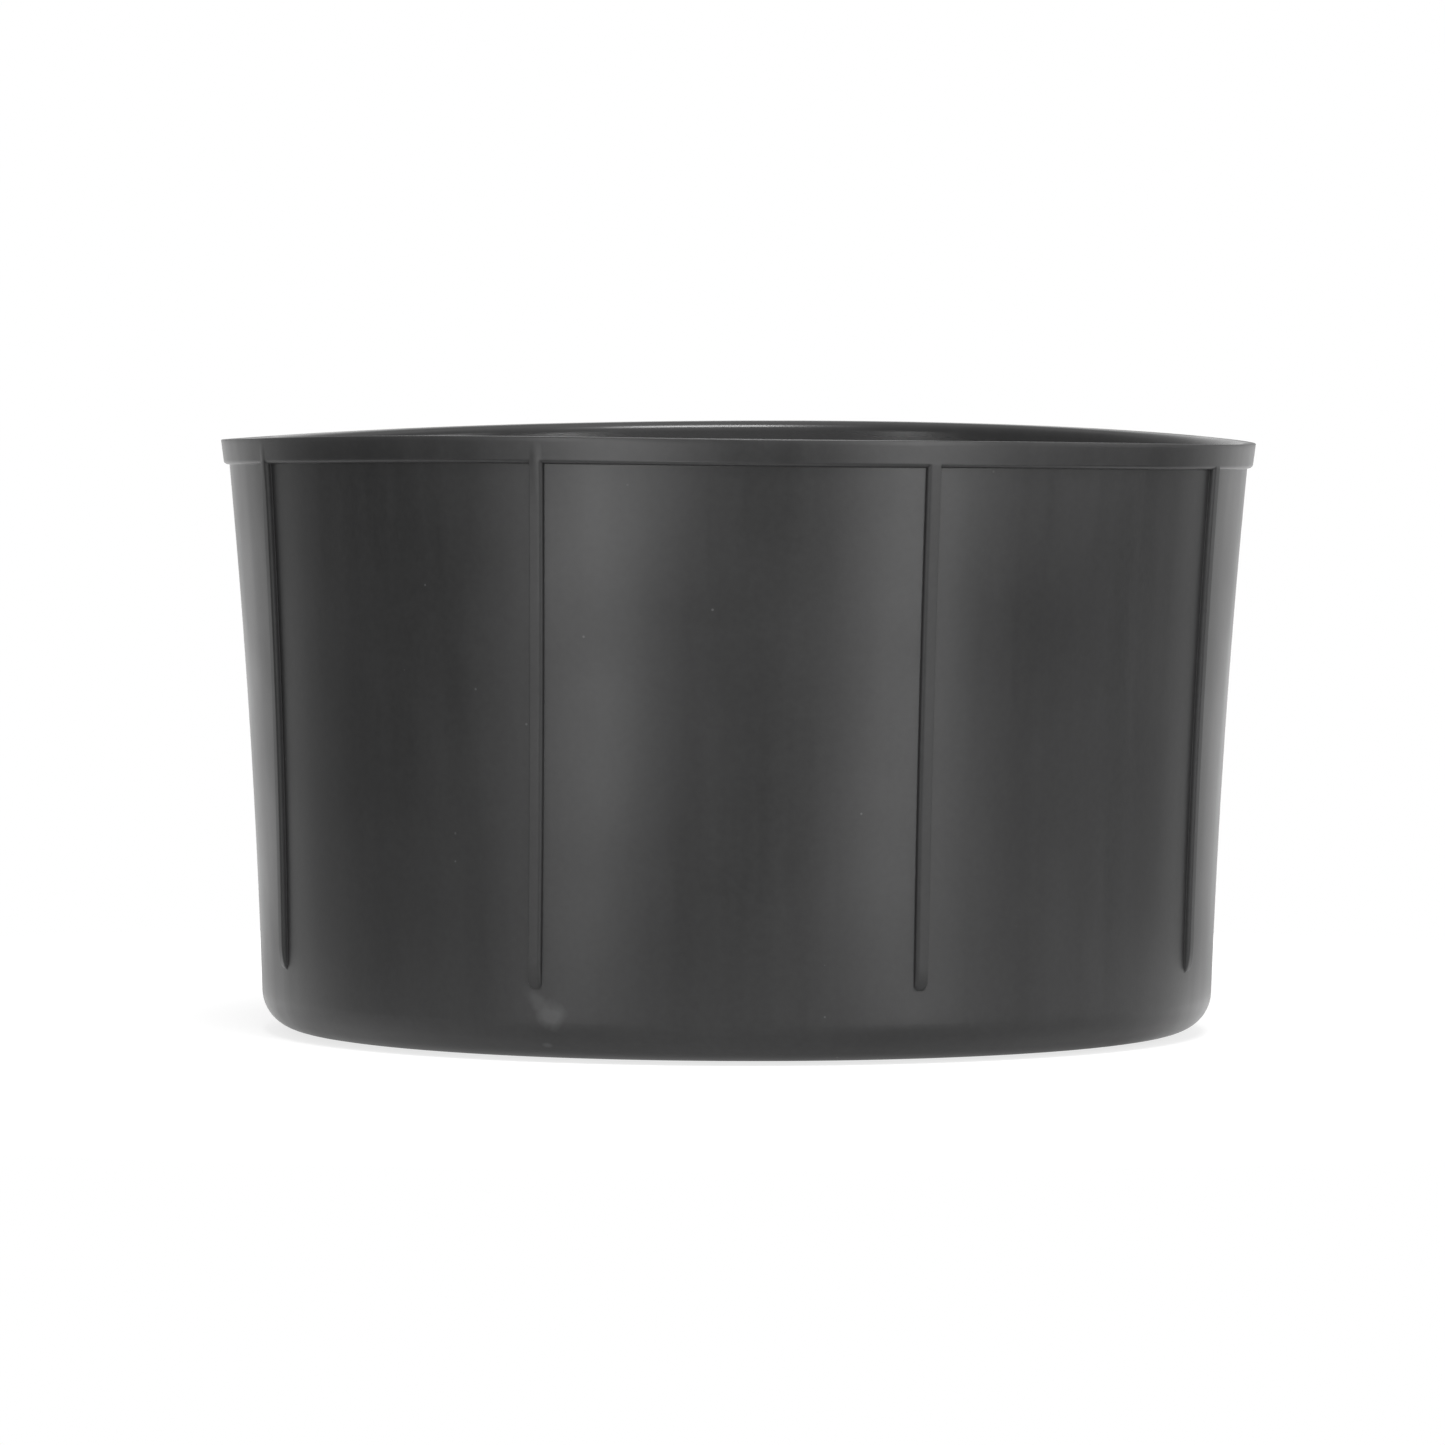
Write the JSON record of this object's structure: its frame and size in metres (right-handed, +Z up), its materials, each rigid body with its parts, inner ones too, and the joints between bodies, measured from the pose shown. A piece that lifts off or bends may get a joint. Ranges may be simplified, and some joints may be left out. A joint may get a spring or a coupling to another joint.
{
  "type": "hair color bowl",
  "caption": "Round dark plastic salon bowl for mixing hair color, with a rim band, upright ribs on its flared wall and a rubber non-slip ring under its base.",
  "frame": {"origin": "on the bowl's axis, on the surface that the bowl stands on", "axes": "+Z up along the bowl's axis; -Y looks at the picture's camera, midway between two ribs"},
  "size_m": [0.14, 0.14, 0.0806],
  "materials": {
    "bowl_plastic": "satin moulded polypropylene, near black",
    "ring_rubber": "matt black rubber"
  },
  "bodies": {
    "root": {"bowl_body": "bowl_plastic", "non_slip_ring": "ring_rubber"}
  },
  "joints": []
}
